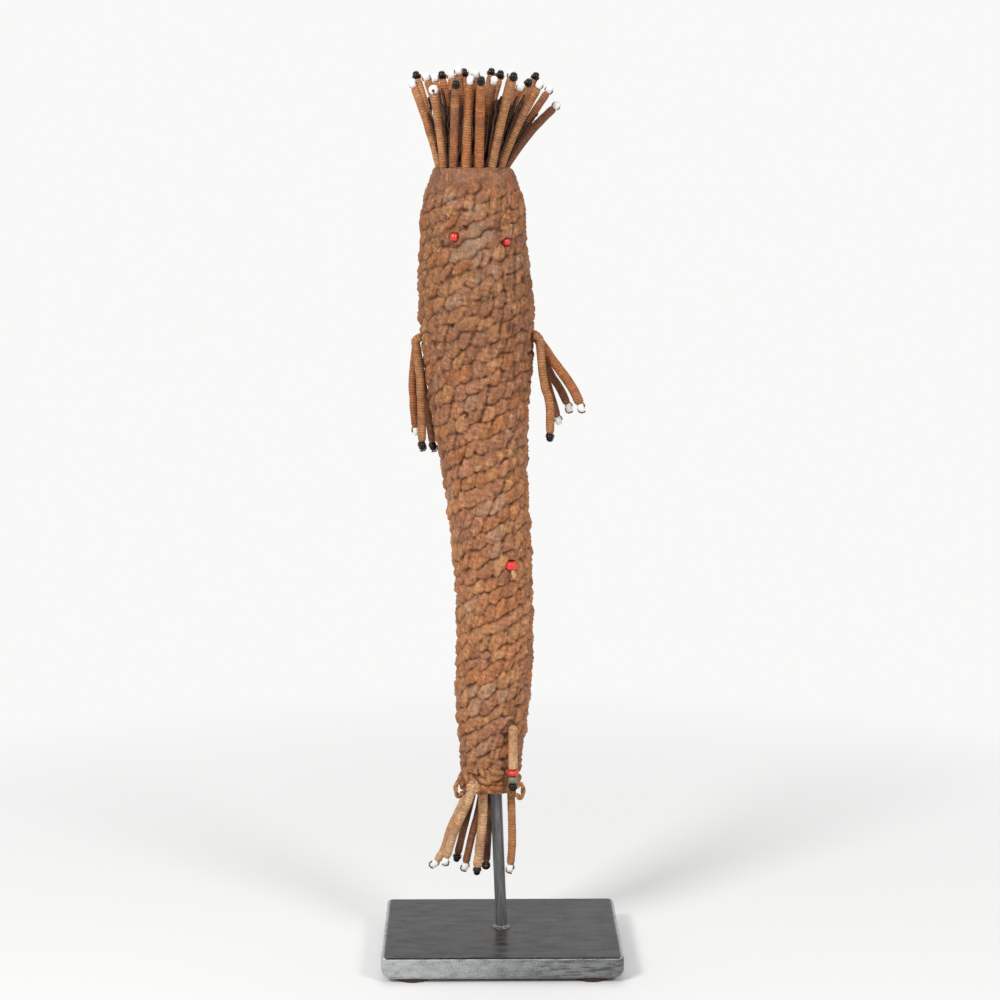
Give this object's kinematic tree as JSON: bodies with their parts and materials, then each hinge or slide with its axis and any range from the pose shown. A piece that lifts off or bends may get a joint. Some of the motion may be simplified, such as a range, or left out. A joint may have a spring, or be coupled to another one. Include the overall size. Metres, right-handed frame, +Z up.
{
  "type": "corn husk doll",
  "caption": "Upright corn husk doll covered in knotted plant-fibre cord, with thread-wrapped hair, arm and leg strands tipped by glass beads, held on a rod over a steel base plate.",
  "frame": {"origin": "centre of the stand's plan, level with the undersides of its foot pads", "axes": "+X to the viewer's right across the plate, -Y out of the face towards the viewer, +Z up"},
  "size_m": [0.1016, 0.0762, 0.3791],
  "materials": {
    "steel": "blackened steel, satin",
    "braze": "brazed fillet, darkened",
    "felt": "reddish-brown felt",
    "husk": "dry plant husk, matte",
    "cord": "knotted plant-fibre cord, darkened and greasy with handling",
    "strand": "thread-wrapped cord, slightly shiny",
    "red_glass": "opaque glossy glass",
    "green_glass": "opaque worn glass",
    "black_glass": "opaque glossy glass"
  },
  "bodies": {
    "stand": {"base_plate": "steel", "foot_pad_1": "felt", "foot_pad_2": "felt", "foot_pad_3": "felt", "foot_pad_4": "felt", "support_rod": "steel", "rod_weld": "braze"},
    "doll": {"husk_core": "husk", "knotted_cover": "cord", "eye_bead_left": "red_glass", "eye_bead_right": "red_glass", "navel_bead": "red_glass", "cord_loop_left": "cord", "cord_loop_right": "cord", "hair_strand_01": "strand", "hair_strand_02": "strand", "hair_strand_03": "strand", "hair_strand_04": "strand", "hair_strand_05": "strand", "hair_strand_06": "strand", "hair_strand_07": "strand", "hair_strand_08": "strand", "hair_strand_09": "strand", "hair_strand_10": "strand", "hair_strand_11": "strand", "hair_strand_12": "strand", "hair_strand_13": "strand", "hair_strand_14": "strand", "hair_strand_15": "strand", "hair_strand_16": "strand", "hair_strand_17": "strand", "hair_strand_18": "strand", "hair_strand_19": "strand", "hair_strand_20": "strand", "hair_strand_21": "strand", "hair_strand_22": "strand", "hair_strand_23": "strand", "hair_strand_24": "strand", "hair_strand_25": "strand", "hair_strand_26": "strand"},
    "left_arm": {"arm_left_1": "strand", "arm_left_2": "strand", "arm_left_3": "strand"},
    "right_arm": {"arm_right_1": "strand", "arm_right_2": "strand", "arm_right_3": "strand", "arm_right_4": "strand"},
    "leg_1": {"leg_strand_1": "strand"},
    "leg_2": {"leg_strand_2": "strand"},
    "leg_3": {"leg_strand_3": "strand"},
    "leg_4": {"leg_strand_4": "strand"},
    "leg_5": {"leg_strand_5": "strand"},
    "leg_6": {"leg_strand_6": "strand"},
    "leg_7": {"leg_strand_7": "strand"},
    "pendant": {"pendant_cord": "strand", "pendant_bead_red": "red_glass", "pendant_bead_green": "green_glass", "pendant_bead_black": "black_glass"}
  },
  "joints": [
    {"name": "doll_lift", "type": "slide", "parent": "stand", "child": "doll", "axis": [-0.039, 0, 0.9992], "range_m": [0, 0.12]},
    {"name": "left_arm_raise", "type": "hinge", "parent": "doll", "child": "left_arm", "pos_m": [-0.03555, 0, 0.2643], "axis": [0, 1, 0], "range_deg": [0, 60]},
    {"name": "right_arm_raise", "type": "hinge", "parent": "doll", "child": "right_arm", "pos_m": [0.01572, 0, 0.26536], "axis": [0, -1, 0], "range_deg": [0, 50]},
    {"name": "leg_1_swing_out", "type": "hinge", "parent": "doll", "child": "leg_1", "pos_m": [-0.01458, 0.00296, 0.07065], "axis": [0, 1, 0], "range_deg": [0, 35]},
    {"name": "leg_2_swing_back", "type": "hinge", "parent": "doll", "child": "leg_2", "pos_m": [-0.01206, 0.00745, 0.0708], "axis": [1, 0, 0], "range_deg": [0, 35]},
    {"name": "leg_3_swing_back", "type": "hinge", "parent": "doll", "child": "leg_3", "pos_m": [-0.008, 0.00844, 0.0708], "axis": [1, 0, 0], "range_deg": [0, 35]},
    {"name": "leg_4_swing_forward", "type": "hinge", "parent": "doll", "child": "leg_4", "pos_m": [-0.008, -0.00548, 0.07043], "axis": [-1, 0, 0], "range_deg": [0, 35]},
    {"name": "leg_5_swing_back", "type": "hinge", "parent": "doll", "child": "leg_5", "pos_m": [-0.00405, 0.00702, 0.07074], "axis": [1, 0, 0], "range_deg": [0, 35]},
    {"name": "leg_6_swing_out", "type": "hinge", "parent": "doll", "child": "leg_6", "pos_m": [0.00406, -0.00296, 0.07072], "axis": [0, -1, 0], "range_deg": [0, 35]},
    {"name": "leg_7_swing_forward", "type": "hinge", "parent": "doll", "child": "leg_7", "pos_m": [-0.01263, -0.01217, 0.07624], "axis": [-1, 0, 0], "range_deg": [0, 35]},
    {"name": "pendant_swing_forward", "type": "hinge", "parent": "doll", "child": "pendant", "pos_m": [0.00466, -0.01452, 0.10084], "axis": [-1, 0, 0], "range_deg": [0, 60]}
  ]
}
